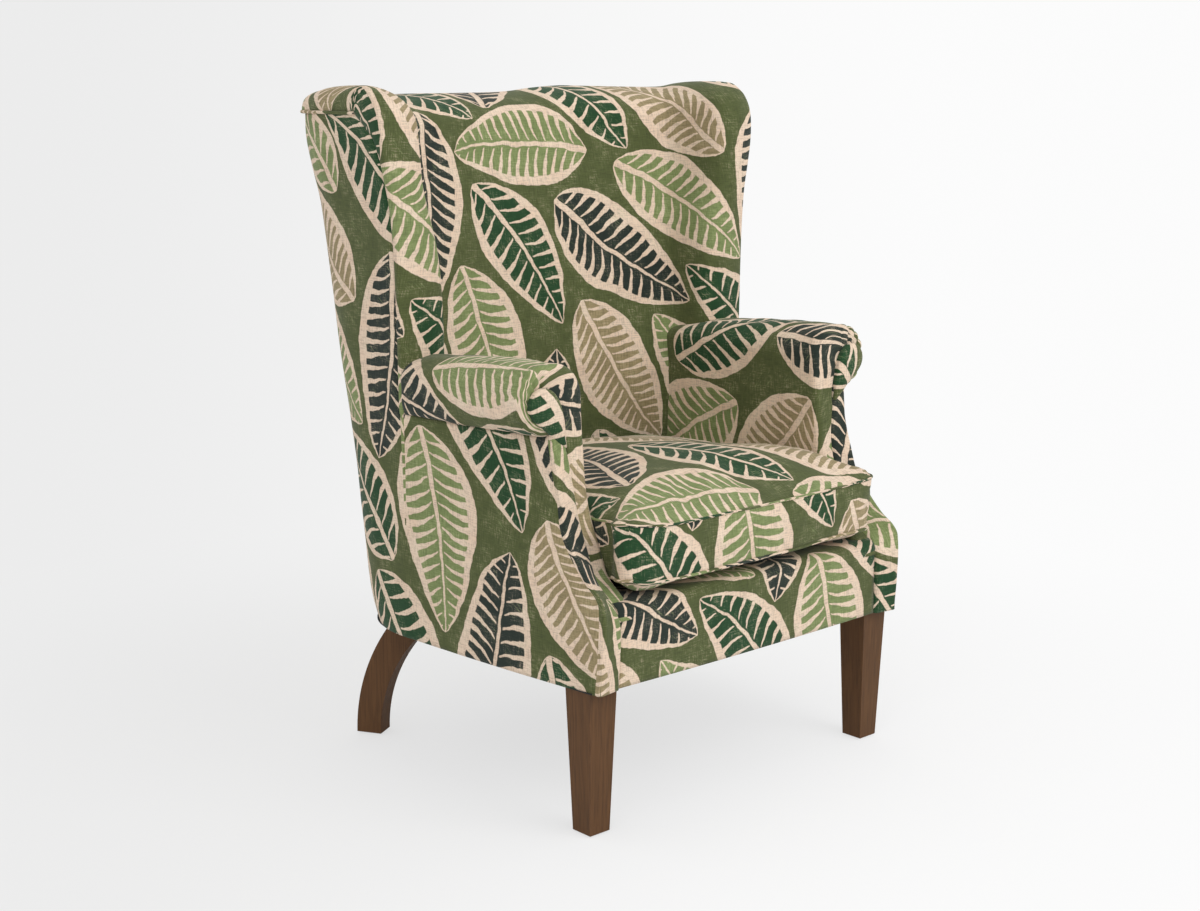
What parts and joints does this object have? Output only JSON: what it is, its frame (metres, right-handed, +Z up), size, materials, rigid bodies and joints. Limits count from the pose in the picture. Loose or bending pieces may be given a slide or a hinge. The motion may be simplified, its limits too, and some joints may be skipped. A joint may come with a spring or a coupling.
{
  "type": "upholstered chair",
  "caption": "High-back wing chair with scroll arms, a loose seat cushion, tapered front legs and sabre back legs, on a timber frame with springs.",
  "frame": {"origin": "on the floor, at the middle of the chair's overall width and depth", "axes": "+Z up, the seat faces -Y, and +X is to the left of someone sitting in the chair; nodes named left lie at -X"},
  "size_m": [0.748, 0.6657, 1.013],
  "materials": {
    "printed_linen": "woven linen, printed with leaves",
    "leg_wood": "stained hardwood, satin",
    "frame_wood": "sawn beech",
    "steel": "zinc plated",
    "nylon": "moulded",
    "webbing": "jute webbing",
    "black_cloth": "thin lining cloth",
    "foam": "foam and wadding"
  },
  "bodies": {
    "chair": {"arm_facing_left": "printed_linen", "arm_facing_right": "printed_linen", "arm_pad_left": "printed_linen", "arm_pad_right": "printed_linen", "arm_post_left": "frame_wood", "arm_post_right": "frame_wood", "arm_rail_left": "frame_wood", "arm_rail_right": "frame_wood", "back_leg_left": "leg_wood", "back_leg_right": "leg_wood", "back_post_left": "frame_wood", "back_post_right": "frame_wood", "back_rail": "frame_wood", "back_webbing": "webbing", "corner_blocks": "frame_wood", "deck_cover": "black_cloth", "dust_cover": "black_cloth", "foot_glides": "nylon", "front_border": "printed_linen", "front_leg_left": "leg_wood", "front_leg_right": "leg_wood", "front_rail": "frame_wood", "inside_back": "printed_linen", "leg_bolts": "steel", "lumbar_rail": "frame_wood", "outside_back": "printed_linen", "outside_side_left": "printed_linen", "outside_side_right": "printed_linen", "seat_platform": "foam", "seat_springs": "steel", "side_rail_left": "frame_wood", "side_rail_right": "frame_wood", "spring_clips": "steel", "top_rail": "frame_wood", "wing_pad_left": "printed_linen", "wing_pad_right": "printed_linen", "wing_post_left": "frame_wood", "wing_post_right": "frame_wood", "wing_rail_left": "frame_wood", "wing_rail_right": "frame_wood"},
    "cushion": {"cushion_core": "foam", "cushion_cover": "printed_linen"}
  },
  "joints": [
    {"name": "cushion_lift", "type": "slide", "parent": "chair", "child": "cushion", "axis": [0, 0, 1], "range_m": [0, 0.38]}
  ]
}
